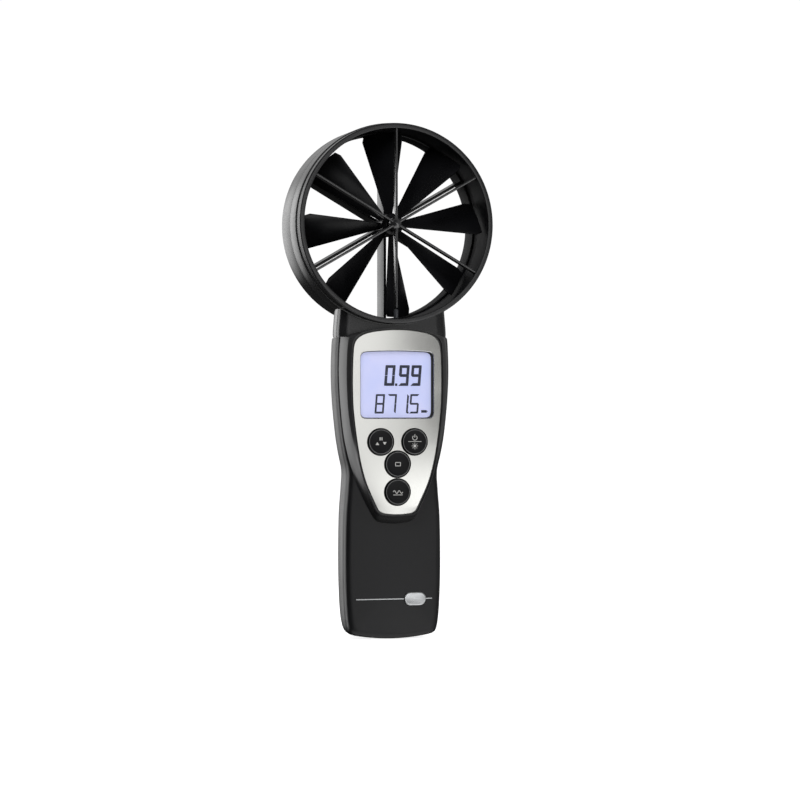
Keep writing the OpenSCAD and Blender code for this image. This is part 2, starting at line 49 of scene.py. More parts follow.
MM = 0.001
VANE_Z = 175          # height of the vane axis over the middle of the grip
SEAM_Z, SEAM_SAG, SEAM_HALF = 119.85, 4.85, 30
HANDLE_LOW, HANDLE_HALF = -43.6, 26.5
GRIP_FRONT, GRIP_BACK, PLATE_FRONT, PLATE_BACK = 10.4, 25.5, 17.5, 16.3
WALL = 2
BORE_R, COLLAR_R, DUCT_R = 50, 52.7, 53.3
DUCT_HALF, COLLAR_LENGTH = 19, 7
VANE_BACK = 2         # how far the duct's middle lies behind the handle's parting plane
PARTING_GAP = 0.04
GRIP_CROWN = 0.7      # how far the grip's face falls back at its sides
PLATE_CROWN_HIGH, PLATE_CROWN_LOW, PLATE_LEAN = 0.8, 0.42, 0.55

# Half-widths at heights, from the top down
HANDLE_SIDES = [(118, 29.9), (111, 30.6), (96, 31), (80, 30.2), (64, 28.5), (54, 26.8), (44.5, 24.8),
                (35, 25.2), (20, 26.3), (-7, 26.6), (-24, 26.1), (-34, 25.3), (-40.5, 24.1)]
PLATE_SIDES = [(114, 23.9), (108, 24.5), (93, 24.9), (80, 24.6), (72, 23.9), (63.5, 22.9),
               (55, 21.6), (47, 20), (38.5, 17.5), (31, 14.3), (23, 10.5)]
SURROUND_SIDES = [(116, 28.6), (108, 29.3), (96, 29.6), (80, 28.8), (64, 27), (54, 24.9),
                  (46, 22.6), (38, 19.9), (28, 15.4), (18.8, 10.2)]
PLATE_LOW, SURROUND_LOW = 21.8, 17.3
PLATE_JOINT, LEDGE = 0.6, 1.7
WINDOW_HALF, WINDOW_LOW, WINDOW_HIGH = 19.9, 72.8, 107.6
BUTTON_PLACES = {"left": (-9.2, 60.5), "right": (9.2, 60.5), "upper": (0, 48.8), "lower": (0, 34.2)}
BUTTON_R = 6.7
BUTTON_GAP = 0.4


# ---------------------------------------------------------------- curves and outlines

def mix(a, b, t):
    return a + (b - a) * t


def smoothstep(t):
    t = max(0.0, min(1.0, t))
    return t * t * (3 - 2 * t)


def slope(s, i):
    a, b = max(i - 1, 0), min(i + 1, len(s) - 1)
    return (s[b][1] - s[a][1]) / (s[b][0] - s[a][0])


def half_at(s, z):
    """Value at height z on the smooth curve through stations listed from the top down."""
    i = 0
    while i < len(s) - 2 and z < s[i + 1][0]:
        i += 1
    h = s[i + 1][0] - s[i][0]
    t = max(0.0, min(1.0, (z - s[i][0]) / h))
    return (s[i][1] * (2 * t ** 3 - 3 * t ** 2 + 1) + s[i + 1][1] * (3 * t ** 2 - 2 * t ** 3)
            + h * slope(s, i) * (t ** 3 - 2 * t ** 2 + t) + h * slope(s, i + 1) * (t ** 3 - t ** 2))


def seam_at(x):
    return SEAM_Z - SEAM_SAG * (x / SEAM_HALF) ** 2


def outline(sides, low, grow=0.0, steps=84, ends=16):
    """Closed outline with smooth sides, an arched top and a bowed foot, as (x, z) points."""
    z_high, z_foot = sides[0][0], sides[-1][0]
    x_high, x_foot = half_at(sides, z_high) + grow, half_at(sides, z_foot) + grow
    bow = z_foot - low
    right = []
    for i in range(steps + 1):
        z = mix(min(z_high, seam_at(x_high)), z_foot, i / steps)
        right.append((half_at(sides, z) + grow, z + grow * (1 - 2 * i / steps)))
    foot_t = [0.955 * (1 - 2 * i / ends) for i in range(ends + 1)]
    foot = [(x_foot * t, low - grow + bow * 0.86 * t * t) for t in foot_t]
    left = [(-x, z) for x, z in reversed(right)]
    top_t = [-0.95 + 1.9 * i / ends for i in range(ends + 1)]
    top = [(x_high * t, seam_at(x_high * t) + grow) for t in top_t]
    return right + foot + left + top


def softened(points, passes, chosen):
    """Closed outline with the corners chosen by chosen(point) rounded off."""
    points = list(points)
    n = len(points)
    weight = [1.0 if chosen(p) else 0.0 for p in points]
    for _ in range(passes):
        points = [((1 - 0.5 * w) * p[0] + 0.25 * w * (points[i - 1][0] + points[(i + 1) % n][0]),
                   (1 - 0.5 * w) * p[1] + 0.25 * w * (points[i - 1][1] + points[(i + 1) % n][1]))
                  for i, (p, w) in enumerate(zip(points, weight))]
    return points


HANDLE_SHAPE = softened(outline(HANDLE_SIDES, HANDLE_LOW), 2, lambda p: p[1] < -36)
HANDLE_LENGTH = SEAM_Z - HANDLE_LOW


def handle_ring(inset, y, drop=0.0):
    return [(x * (1 - inset / HANDLE_HALF), y,
             SEAM_Z - drop + (z - SEAM_Z) * (1 - (inset + drop) / HANDLE_LENGTH)) for x, z in HANDLE_SHAPE]


def front_ring(inset, y):
    """Ring whose front corner turns in less beside the display, where the surround carries the side on."""
    ring = []
    for x, z in HANDLE_SHAPE:
        turn = inset * mix(1, 0.55, smoothstep((z - 45) / 20))
        ring.append((x * (1 - turn / HANDLE_HALF), y, SEAM_Z + (z - SEAM_Z) * (1 - turn / HANDLE_LENGTH)))
    return ring


def plate_outline(grow):
    return softened(outline(PLATE_SIDES, PLATE_LOW, grow), 6,
                    lambda p: abs(p[0]) > 8 and (p[1] > 106 or p[1] < 24.5))


def surround_outline():
    return softened(outline(SURROUND_SIDES, SURROUND_LOW), 4, lambda p: p[1] < 21)


def fillet(points, radii, closed=False, steps=4):
    """Polyline whose corners are rounded by the given radii (0 keeps a corner)."""
    out, n = [], len(points)
    for i, p in enumerate(points):
        r = radii[i] if isinstance(radii, (list, tuple)) else radii
        if (not closed and i in (0, n - 1)) or r <= 0:
            out.append(tuple(p))
            continue
        a, b, c = Vector(points[i - 1]), Vector(p), Vector(points[(i + 1) % n])
        ra, rc = min(r, (a - b).length * 0.49), min(r, (c - b).length * 0.49)
        p0, p1 = b + (a - b).normalized() * ra, b + (c - b).normalized() * rc
        for k in range(steps + 1):
            t = k / steps
            out.append(tuple(p0 * (1 - t) ** 2 + b * 2 * t * (1 - t) + p1 * t * t))
    return out


def crown(x, z):
    """How far the plate's face falls back from its highest line."""
    edge = max(half_at(PLATE_SIDES, z), 12)
    across = x / edge
    upper = smoothstep((z - 58) / 30)
    lean = PLATE_LEAN * smoothstep((66 - z) / 40) * ((66 - z) / 44)
    return mix(PLATE_CROWN_LOW, PLATE_CROWN_HIGH, upper) * across * across + lean


# ---------------------------------------------------------------- mesh building

def new_object(name, verts, faces, weld=1e-4):
    mesh = bpy.data.meshes.new(name)
    mesh.from_pydata([(v[0] * MM, v[1] * MM, v[2] * MM) for v in verts], [], faces)
    bm = bmesh.new()
    bm.from_mesh(mesh)
    bmesh.ops.remove_doubles(bm, verts=bm.verts, dist=weld * MM)
    bmesh.ops.recalc_face_normals(bm, faces=bm.faces)
    bm.to_mesh(mesh)
    bm.free()
    obj = bpy.data.objects.new(name, mesh)
    bpy.context.scene.collection.objects.link(obj)
    return obj


def merge(*parts):
    """Joins (verts, faces) pairs into one pair."""
    verts, faces = [], []
    for v, f in parts:
        base = len(verts)
        verts += v
        faces += [tuple(i + base for i in face) for face in f]
    return verts, faces


def skin(rings, closed=False, caps=(True, True)):
    n, m = len(rings[0]), len(rings)
    verts = [p for r in rings for p in r]
    faces = []
    for k in range(m if closed else m - 1):
        for i in range(n):
            j, a, b = (i + 1) % n, k * n, ((k + 1) % m) * n
            faces.append((a + i, a + j, b + j, b + i))
    if not closed and caps[0]:
        faces.append(tuple(range(n - 1, -1, -1)))
    if not closed and caps[1]:
        faces.append(tuple((m - 1) * n + i for i in range(n)))
    return verts, faces


def lathe(profile, at=(0, VANE_Z), n=96, closed=False):
    """Surface turned about an axis along Y through at. profile is (radius, y) points."""
    verts, faces, m = [], [], len(profile)
    for k in range(n):
        a = 2 * math.pi * k / n
        verts += [(at[0] + r * math.cos(a), y, at[1] + r * math.sin(a)) for r, y in profile]
    for k in range(n):
        k2 = (k + 1) % n
        for i in range(m if closed else m - 1):
            j = (i + 1) % m
            faces.append((k * m + i, k * m + j, k2 * m + j, k2 * m + i))
    return verts, faces


def at_vane(part):
    """Moves a part drawn about the duct's middle back to its place."""
    verts, faces = part
    return [(x, y + VANE_BACK, z) for x, y, z in verts], faces


def prism(points, y0, y1):
    """Flat-ended solid along Y over a closed (x, z) outline."""
    return skin([[(x, y0, z) for x, z in points], [(x, y1, z) for x, z in points]])


def bar(x, y, z):
    return prism([(x[0], z[0]), (x[1], z[0]), (x[1], z[1]), (x[0], z[1])], y[0], y[1])


def circle(at, r, n=48):
    angles = [2 * math.pi * k / n for k in range(n)]
    return [(at[0] + r * math.cos(a), at[1] + r * math.sin(a)) for a in angles]


def rim(points, profile, lift=None):
    """Strip swept round a closed (x, z) outline. profile is (outwards, y) points.

    lift(x, z) moves the strip back with the plate's face, but never past the plate's back.
    """
    n = len(points)
    area = sum(points[i - 1][0] * points[i][1] - points[i][0] * points[i - 1][1] for i in range(n))
    turn = 1 if area > 0 else -1
    rings, normals = [], []
    for i in range(n):
        t = Vector(points[(i + 1) % n]) - Vector(points[i - 1])
        normals.append(Vector((t[1], -t[0])).normalized() * turn)
    for out, y in profile:
        ring = []
        for p, nrm in zip(points, normals):
            x, z = p[0] + nrm[0] * out, p[1] + nrm[1] * out
            ring.append((x, min(y + lift(x, z), max(y, -PLATE_BACK)) if lift else y, z))
        rings.append(ring)
    return skin(rings, caps=(False, False))


def apply_modifiers(obj):
    graph = bpy.context.evaluated_depsgraph_get()
    obj.data = bpy.data.meshes.new_from_object(obj.evaluated_get(graph))
    obj.modifiers.clear()


def carve(obj, cutters, operation="DIFFERENCE"):
    """Cuts, joins or keeps obj by the (verts, faces) solids in cutters."""
    made = []
    for verts, faces in cutters:
        cutter = new_object("cutter", verts, faces)
        made.append(cutter)
        m = obj.modifiers.new("cut", "BOOLEAN")
        m.object, m.operation, m.solver = cutter, operation, "EXACT"
    apply_modifiers(obj)
    for cutter in made:
        bpy.data.objects.remove(cutter)
    return obj


def taken_apart(obj):
    """The (verts, faces) of a built object, which is removed."""
    verts = [list(v.co / MM) for v in obj.data.vertices]
    faces = [tuple(p.vertices) for p in obj.data.polygons]
    bpy.data.objects.remove(obj)
    return verts, faces


def piece(obj, body, material, replaces=(), bevel=0.0, segments=3, sharp=32):
    """Finishes a piece: bevel, shading, material, and the body and CAD nodes it goes with."""
    if bevel:
        m = obj.modifiers.new("bevel", "BEVEL")
        m.width, m.segments, m.limit_method = bevel * MM, segments, "ANGLE"
        m.angle_limit = math.radians(sharp)
        apply_modifiers(obj)
    obj.data.polygons.foreach_set("use_smooth", [True] * len(obj.data.polygons))
    obj.data.set_sharp_from_angle(angle=math.radians(sharp if not bevel else 50))
    if bevel:
        m = obj.modifiers.new("normals", "WEIGHTED_NORMAL")
        m.keep_sharp = True
        apply_modifiers(obj)
    obj.data.materials.clear()
    obj.data.materials.append(material)
    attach(obj, body)
    if replaces:
        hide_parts(*replaces)
    return obj


# ---------------------------------------------------------------- materials

def shader(name):
    mat = bpy.data.materials.new(name)
    mat.use_nodes = True
    tree = mat.node_tree
    bsdf = tree.nodes["Principled BSDF"]
    return mat, tree, bsdf


def noise(tree, scale, detail=3.0, rough=0.55, stretch=None):
    coord = tree.nodes.new("ShaderNodeTexCoord")
    tex = tree.nodes.new("ShaderNodeTexNoise")
    tex.inputs["Scale"].default_value = scale
    tex.inputs["Detail"].default_value = detail
    tex.inputs["Roughness"].default_value = rough
    if stretch:
        mapping = tree.nodes.new("ShaderNodeMapping")
        mapping.inputs["Scale"].default_value = stretch
        tree.links.new(coord.outputs["Object"], mapping.inputs["Vector"])
        tree.links.new(mapping.outputs["Vector"], tex.inputs["Vector"])
    else:
        tree.links.new(coord.outputs["Object"], tex.inputs["Vector"])
    return tex.outputs["Fac"]


def ranged(tree, value, low, high, start=0.3, end=0.7):
    node = tree.nodes.new("ShaderNodeMapRange")
    node.inputs["From Min"].default_value, node.inputs["From Max"].default_value = start, end
    node.inputs["To Min"].default_value, node.inputs["To Max"].default_value = low, high
    tree.links.new(value, node.inputs["Value"])
    return node.outputs["Result"]


def mixed(tree, fac, a, b):
    node = tree.nodes.new("ShaderNodeMix")
    node.data_type = "RGBA"
    tree.links.new(fac, node.inputs["Factor"])
    node.inputs["A"].default_value = (*a, 1)
    node.inputs["B"].default_value = (*b, 1)
    return node.outputs["Result"]


def bumped(tree, bsdf, height, strength, distance, edge=0.0):
    node = tree.nodes.new("ShaderNodeBump")
    node.inputs["Strength"].default_value = strength
    node.inputs["Distance"].default_value = distance * MM
    tree.links.new(height, node.inputs["Height"])
    if edge:
        soft = tree.nodes.new("ShaderNodeBevel")
        soft.samples = 4
        soft.inputs["Radius"].default_value = edge * MM
        tree.links.new(soft.outputs["Normal"], node.inputs["Normal"])
    tree.links.new(node.outputs["Normal"], bsdf.inputs["Normal"])


def added(tree, a, b):
    """Sum of a socket and another socket or a number."""
    node = tree.nodes.new("ShaderNodeMath")
    node.operation = "ADD"
    tree.links.new(a, node.inputs[0])
    if isinstance(b, float):
        node.inputs[1].default_value = b
    else:
        tree.links.new(b, node.inputs[1])
    return node.outputs[0]


def moulded(name, color, rough, spread=0.06, grain=2600.0, strength=0.12, depth=0.05, metal=0.0, specular=0.5,
            coat=0.0, coat_rough=0.1, edge=0.0, stretch=None, tint=0.22, cloud=38.0):
    """Moulded plastic, metal or rubber: cloudy colour and gloss, and a fine grain in relief."""
    mat, tree, bsdf = shader(name)
    clouds = noise(tree, cloud, 4.0)
    dark, light = [c * (1 - tint) for c in color], [min(1.0, c * (1 + tint)) for c in color]
    tree.links.new(mixed(tree, ranged(tree, clouds, 0, 1), dark, light), bsdf.inputs["Base Color"])
    fine = noise(tree, grain, 3.0, 0.6, stretch)
    sheen = added(tree, ranged(tree, fine, rough - spread * 0.5, rough + spread * 0.5),
                  ranged(tree, clouds, -spread * 0.5, spread * 0.5))
    tree.links.new(sheen, bsdf.inputs["Roughness"])
    bumped(tree, bsdf, fine, strength, depth, edge)
    bsdf.inputs["Metallic"].default_value = metal
    bsdf.inputs["Specular IOR Level"].default_value = specular
    bsdf.inputs["Coat Weight"].default_value = coat
    bsdf.inputs["Coat Roughness"].default_value = coat_rough
    return mat


housing = moulded("satin_black_plastic", (0.011, 0.011, 0.012), 0.33, 0.07, 2200, 0.10, 0.05,
                  specular=0.28, edge=0.25)
housing_duct = moulded("duct_black_plastic", (0.016, 0.016, 0.017), 0.24, 0.08, 900, 0.06, 0.06)
# Painted shade: a darker, duller black for the duct's inside, where shade falls.
bore_black = moulded("bore_black_plastic", (0.005, 0.005, 0.006), 0.62, 0.08, 1500, 0.10, 0.04, specular=0.06)
surround_black = moulded("surround_black_plastic", (0.024, 0.024, 0.025), 0.30, 0.06, 2400, 0.08, 0.04)
vane = moulded("vane_black_plastic", (0.007, 0.007, 0.008), 0.30, 0.06, 1400, 0.05, 0.04, specular=0.3)
# Painted sheen: lighter than the vane's black, so that the spokes' front faces look lit.
spoke_black = moulded("spoke_black_plastic", (0.020, 0.020, 0.021), 0.24, 0.06, 1400, 0.05, 0.04,
                      specular=0.9, coat=0.6)
brass = moulded("turned_brass", (0.62, 0.45, 0.18), 0.28, 0.10, 900, 0.10, 0.02, metal=1.0,
                stretch=(1, 40, 1))
steel = moulded("turned_steel", (0.52, 0.53, 0.55), 0.30, 0.10, 1500, 0.10, 0.02, metal=1.0, tint=0.1,
                edge=0.12)
magnet_grey = moulded("sintered_magnet", (0.12, 0.12, 0.125), 0.55, 0.1, 3200, 0.3, 0.05)
sensor_grey = moulded("potted_sensor", (0.04, 0.042, 0.047), 0.32, 0.08, 1500, 0.1, 0.03)
insulation = moulded("lead_insulation", (0.45, 0.46, 0.48), 0.5, 0.08, 1800, 0.1, 0.03)
rubber = moulded("dark_rubber", (0.03, 0.03, 0.03), 0.7, 0.08, 2600, 0.25, 0.05)
plate_metal = moulded("satin_silver_plate", (0.64, 0.64, 0.615), 0.19, 0.05, 2600, 0.03, 0.02, metal=1.0,
                      tint=0.03, cloud=24)
inner_white = moulded("inner_white_plastic", (0.72, 0.72, 0.69), 0.5, 0.08, 1500, 0.1, 0.03, tint=0.06)
board_green = moulded("solder_mask", (0.02, 0.16, 0.06), 0.35, 0.1, 1200, 0.15, 0.03)
chip_black = moulded("chip_resin", (0.02, 0.02, 0.022), 0.45, 0.1, 2400, 0.15, 0.03)
ceramic = moulded("component_ceramic", (0.5, 0.33, 0.16), 0.4, 0.1, 1800, 0.1, 0.03)
mat_rubber = moulded("silicone_mat", (0.30, 0.31, 0.32), 0.6, 0.08, 1800, 0.15, 0.04)
button_black = moulded("button_black_plastic", (0.006, 0.006, 0.007), 0.34, 0.06, 1800, 0.05, 0.03,
                       specular=0.16)
battery_wrap = moulded("battery_wrap", (0.05, 0.09, 0.20), 0.34, 0.1, 900, 0.1, 0.04)
trim_metal = moulded("brushed_trim", (0.55, 0.56, 0.57), 0.33, 0.12, 500, 0.12, 0.02, metal=1.0, tint=0.08,
                     stretch=(0.6, 1, 14))
ink_light = moulded("light_print", (0.62, 0.62, 0.60), 0.45, 0.06, 2600, 0.1, 0.01, tint=0.05)
ink_dark = moulded("display_segment", (0.012, 0.016, 0.045), 0.3, 0.05, 2600, 0.05, 0.01)
# Painted highlight: grey for the thin ring where the button caps' edges catch light.
ring_highlight_grey = moulded("button_ring", (0.20, 0.20, 0.20), 0.25, 0.08, 2000, 0.05, 0.02)


def display_material():
    mat, tree, bsdf = shader("liquid_crystal")
    cloud = noise(tree, 45, 2.0)
    color = mixed(tree, ranged(tree, cloud, 0, 1, 0.35, 0.65), (0.44, 0.48, 0.73), (0.51, 0.52, 0.74))
    tree.links.new(color, bsdf.inputs["Base Color"])
    tree.links.new(color, bsdf.inputs["Emission Color"])
    bsdf.inputs["Emission Strength"].default_value = 0.62
    fine = noise(tree, 2400, 2.0)
    tree.links.new(ranged(tree, fine, 0.28, 0.36), bsdf.inputs["Roughness"])
    bumped(tree, bsdf, fine, 0.03, 0.02)
    return mat


def window_material():
    """Clear cover with a faint gloss on its outer faces. Without Backfacing, the inner faces would
    reflect everything at a slant and hide the display from the side."""
    mat = bpy.data.materials.new("clear_window")
    mat.use_nodes = True
    tree = mat.node_tree
    tree.nodes.remove(tree.nodes["Principled BSDF"])
    out = tree.nodes["Material Output"]
    clear, gloss, both = (tree.nodes.new(k) for k in
                          ("ShaderNodeBsdfTransparent", "ShaderNodeBsdfGlossy", "ShaderNodeMixShader"))
    clear.inputs["Color"].default_value = (0.96, 0.965, 0.97, 1)
    fine = noise(tree, 900, 2.0)
    tree.links.new(ranged(tree, fine, 0.03, 0.06), gloss.inputs["Roughness"])
    fresnel = tree.nodes.new("ShaderNodeFresnel")
    fresnel.inputs["IOR"].default_value = 1.35
    side, front_only = tree.nodes.new("ShaderNodeNewGeometry"), tree.nodes.new("ShaderNodeMath")
    front_only.operation, front_only.use_clamp = "SUBTRACT", True
    tree.links.new(fresnel.outputs["Fac"], front_only.inputs[0])
    tree.links.new(side.outputs["Backfacing"], front_only.inputs[1])
    tree.links.new(front_only.outputs[0], both.inputs["Fac"])
    tree.links.new(clear.outputs[0], both.inputs[1])
    tree.links.new(gloss.outputs[0], both.inputs[2])
    tree.links.new(both.outputs[0], out.inputs["Surface"])
    return mat


display_lavender = display_material()
window_clear = window_material()


# ---------------------------------------------------------------- vane head

NECK_FRONT = [(30.2, -2), (30.3, -5.4), (29.4, -8), (26, -9.4)]
NECK_BACK = [(29.8, 4), (28.8, 8), (27.5, 13), (25.2, 16.6), (22.8, 18)]
NECK_WIDTHS = [(132, 28.6), (124, 29.3), (119, 29.7), (115, 29.8)]
NECK_HALF = 30        # half-width that the sections are drawn for
NECK_TOP = 134        # inside the duct's wall, where the neck is cut off by a cylinder of NECK_END_R
NECK_END_R = 51.2


def neck(front):
    """Half of the neck between the duct and the handle, in front of or behind the parting plane."""
    if front:
        section = [(29.9, VANE_BACK - PARTING_GAP)] + NECK_FRONT
    else:
        section = [(29.9, VANE_BACK + PARTING_GAP)] + NECK_BACK[1:]
    section = fillet(section, [0] + [2.2] * (len(section) - 2) + [0.8], steps=5)
    depth = section[-1][1]
    face = [(section[-1][0] * (1 - 2 * k / 24), depth) for k in range(1, 24)]
    loop = section + face + [(-x, y) for x, y in reversed(section)]
    rings = []
    for k in range(15):
        t = k / 14
        ring = []
        for x, y in loop:
            z = mix(seam_at(x) + 0.16, NECK_TOP, t)
            draw_in = 1 - 0.25 * max(0.0, 1 - t * 18) / NECK_HALF
            ring.append((x * draw_in * half_at(NECK_WIDTHS, z) / NECK_HALF, y, z))
        rings.append(ring if front else ring[::-1])
    return skin(rings)


def paint_bore_shade(obj):
    """Gives the faces that look at the vane's axis a darker, duller black than the duct's outside: painted
    shade inside the duct.
    """
    obj.data.materials.append(bore_black)
    for poly in obj.data.polygons:
        out = Vector((poly.center.x, 0, poly.center.z - VANE_Z * MM))
        at_wall = 40 * MM < out.length < (BORE_R + 0.3) * MM
        if at_wall and poly.normal.dot(out.normalized()) < -0.8:
            poly.material_index = 1
    return obj


def head_shell(front):
    """Half of the duct with its half of the neck."""
    if front:
        step = -DUCT_HALF + COLLAR_LENGTH
        corners = [(BORE_R, -PARTING_GAP), (BORE_R, -DUCT_HALF), (COLLAR_R, -DUCT_HALF), (COLLAR_R, step),
                   (DUCT_R, step), (DUCT_R, -PARTING_GAP)]
        radii = [0.1, 0.35, 0.75, 0.05, 0.08, 0.1]
    else:
        corners = [(BORE_R, PARTING_GAP), (DUCT_R, PARTING_GAP), (DUCT_R, DUCT_HALF), (BORE_R, DUCT_HALF)]
        radii = [0.1, 0.1, 1.0, 0.5]
    ring = at_vane(lathe(fillet(corners, radii, closed=True), n=192, closed=True))
    stub = new_object("stub", *neck(front))
    carve(stub, [lathe([(0, -40), (NECK_END_R, -40), (NECK_END_R, 40), (0, 40)], n=192)])
    obj = new_object("duct_front_half" if front else "duct_rear_half", *merge(ring, taken_apart(stub)))
    if not front:
        screw_holes = [(0, 15.4), (2.5, 15.4), (2.5, 26), (0, 26)]
        carve(obj, [lathe(screw_holes, (s * 18.5, 122), 40) for s in (-1, 1)])
    name = "head_front_shell" if front else "head_rear_shell"
    return paint_bore_shade(piece(obj, "housing", housing_duct, [name], sharp=30))


head_shell(True)
head_shell(False)


def spoke_set(count, y, width, r_in, r_out, notch=None):
    """Blade-like spokes with rounded long edges; the lowest may step back beyond the radius notch."""
    parts = []
    for i in range(count):
        angle = math.radians(90 + i * 360 / count)
        ca, sa = math.cos(angle), math.sin(angle)
        lowest = notch and abs(angle - math.radians(270)) < 0.01
        stations = [r_in, r_out] if not lowest else [r_in, notch[0] - 0.4, notch[0] + 0.4, r_out]
        rings = []
        for r in stations:
            y0 = notch[1] if lowest and r > notch[0] else y[0]
            corners = [(-width / 2, y0), (width / 2, y0), (width / 2, y[1]), (-width / 2, y[1])]
            loop = fillet(corners, [0.5, 0.5, 0.35, 0.35], closed=True, steps=4)
            rings.append([(ca * r - sa * w, yy, VANE_Z + sa * r + ca * w) for w, yy in loop])
        parts.append(skin(rings))
    return parts


def front_guard():
    y = (-18.2, -13.5)
    parts = spoke_set(6, y, 1.2, 1.0, 50.1, notch=(44.5, -14.8))
    angles = [math.pi * 0.62 * k / 18 for k in range(19)]
    ball = [(3.6 * math.sin(a), -15.4 - 3.6 * math.cos(a)) for a in angles]
    ball += [(2.9, -12.9), (1.0, -12.8), (1.0, -14.2)]
    parts.append(lathe(ball, n=64))
    obj = new_object("front_spokes", *at_vane(merge(*parts)))
    piece(obj, "housing", spoke_black, ["front_guard"], sharp=35)


def rear_guard():
    parts = spoke_set(6, (5.0, 18.5), 1.5, 3.0, 49.5)
    boss = fillet([(1.2, 8.4), (1.2, 7.3), (1.65, 7.2), (1.65, 4.6), (5.2, 4.6), (5.2, 18.9), (3.5, 18.9),
                   (3.5, 9.5), (1.2, 9.5)], [0, 0, 0, 0.1, 0.6, 0.7, 0.1, 0, 0], closed=True)
    hoop = fillet([(48.9, 4.8), (50.0, 4.8), (50.0, 18.7), (48.9, 18.7)], 0.3, closed=True)
    parts.append(lathe(boss, n=64, closed=True))
    parts.append(lathe(hoop, n=160, closed=True))
    obj = new_object("rear_spokes", *at_vane(merge(*parts)))
    paint_bore_shade(piece(obj, "housing", vane, ["rear_guard"], sharp=35))
    plug = fillet([(0, 15), (3.4, 15), (3.4, 18.9), (2.2, 19.0), (0, 19.0)], [0, 0.2, 0.6, 0.4, 0])
    cap = new_object("boss_plug", *at_vane(lathe(plug, n=48)))
    piece(cap, "housing", vane, ["boss_cap"], sharp=35)


def air_probe():
    """Temperature sensor's bead, drawn along Y and then stood up on the bore's floor."""
    profile = fillet([(0, 0), (1.2, 0), (1.2, 4.6), (0, 5.3)], [0, 0.3, 1.0, 0.5])
    probe = new_object("air_probe", *lathe(profile, (0, 0), 32))
    for v in probe.data.vertices:
        x, y, z = v.co
        v.co = (x, (VANE_BACK - 16.4) * MM + z, (VANE_Z - 49.8) * MM + y)
    piece(probe, "housing", sensor_grey, ["temperature_sensor"])


front_guard()
rear_guard()
air_probe()


# ---------------------------------------------------------------- rotor

BLADES, FIRST_BLADE, PITCH, CHORD, ROTOR_R, ROTOR_Y = 8, 5.3, 43, 13, 48.9, -4.35


def blade_outline():
    """Half of a blade's plan as (along, across), from the root to the tip's middle and back."""
    k = CHORD / ROTOR_R
    cosp = math.cos(math.radians(PITCH))
    corner = CHORD * 0.84

    def tip(c):
        return math.sqrt((ROTOR_R - 0.02) ** 2 - (c * cosp) ** 2)
    steps = (0, 0.25, 0.5, 0.75, 1)
    low_side = [(mix(4, ROTOR_R - 4, t), -mix(4 * k + 0.6, CHORD * 0.92, t)) for t in steps]
    tip_arc = [(tip(c), c) for c in [mix(-corner, corner, i / 10) for i in range(11)]]
    return low_side + tip_arc + [(a, -c) for a, c in reversed(low_side)]


def rotor():
    parts = []
    plan = blade_outline()
    pitch = math.radians(-PITCH)
    cp, sp = math.cos(pitch), math.sin(pitch)
    for i in range(BLADES):
        turn = math.radians(-(FIRST_BLADE + i * 360 / BLADES))
        ct, st = math.cos(turn), math.sin(turn)
        rings = []
        # thin plate whose two faces are drawn in at the edge, which rounds the edge off
        for side, shrink in ((-0.4, 0.30), (-0.32, 0.08), (0.0, 0.0), (0.32, 0.08), (0.4, 0.30)):
            ring = []
            n = len(plan)
            for j, (a, c) in enumerate(plan):
                t = Vector(plan[(j + 1) % n]) - Vector(plan[j - 1])
                nrm = Vector((t[1], -t[0])).normalized()
                a2, c2 = a - nrm[0] * shrink, c - nrm[1] * shrink
                # plane of the blade: along X, across Z, thickness Y, then pitched about X and turned about Y
                y, z = side * cp - c2 * sp, side * sp + c2 * cp
                y += ROTOR_Y
                ring.append((a2 * ct + z * st, y, VANE_Z - a2 * st + z * ct))
            rings.append(ring)
        parts.append(skin(rings))
    hub = fillet([(0.78, -11.2), (4.2, -11.4), (6.0, -10.0), (6.0, 3.4), (4.3, 3.4), (4.3, 1.2),
                  (1.7, 1.2), (1.7, 3.4), (0.78, 3.4)], [0.1, 0.5, 0.8, 0.5, 0, 0, 0, 0, 0], closed=True)
    parts.append(lathe(hub, n=64, closed=True))
    obj = new_object("rotor_blades", *at_vane(merge(*parts)), weld=1e-5)
    piece(obj, "rotor_body", vane, ["rotor"], sharp=38)


rotor()


# ---------------------------------------------------------------- handle

def front_shell():
    def face_y(inset):
        t = 1 - inset / HANDLE_HALF
        return -GRIP_FRONT + GRIP_CROWN * t * t
    inside = [(6, -8.0), (WALL + 0.9, -6.4), (WALL + 0.15, -PARTING_GAP)]
    outside = [(0.15, -PARTING_GAP), (0.11, -1.2), (0.03, -3), (0.0, -5), (0.12, -6.6), (0.42, -7.9),
               (0.85, -8.8), (1.4, -9.35), (2.1, -9.65), (3.0, face_y(3.0))]
    rings = [handle_ring(i, y, 2) for i, y in inside]
    rings += [front_ring(i, y) for i, y in outside]
    rings += [handle_ring(v, face_y(v)) for v in (4, 6, 8.5, 11, 14, 17, 20, 23, 26)]
    obj = new_object("grip_front", *skin(rings))
    opening = [(9, 26), (17, 46), (21.7, 69), (21.7, 112.9)]
    opening += [(-x, z) for x, z in opening[::-1]]
    carve(obj, [prism(opening, -14, -5), bar((-19.7, 19.7), (-5.7, 11.7), (112, 122))])
    piece(obj, "housing", housing, ["front_shell"], sharp=34)


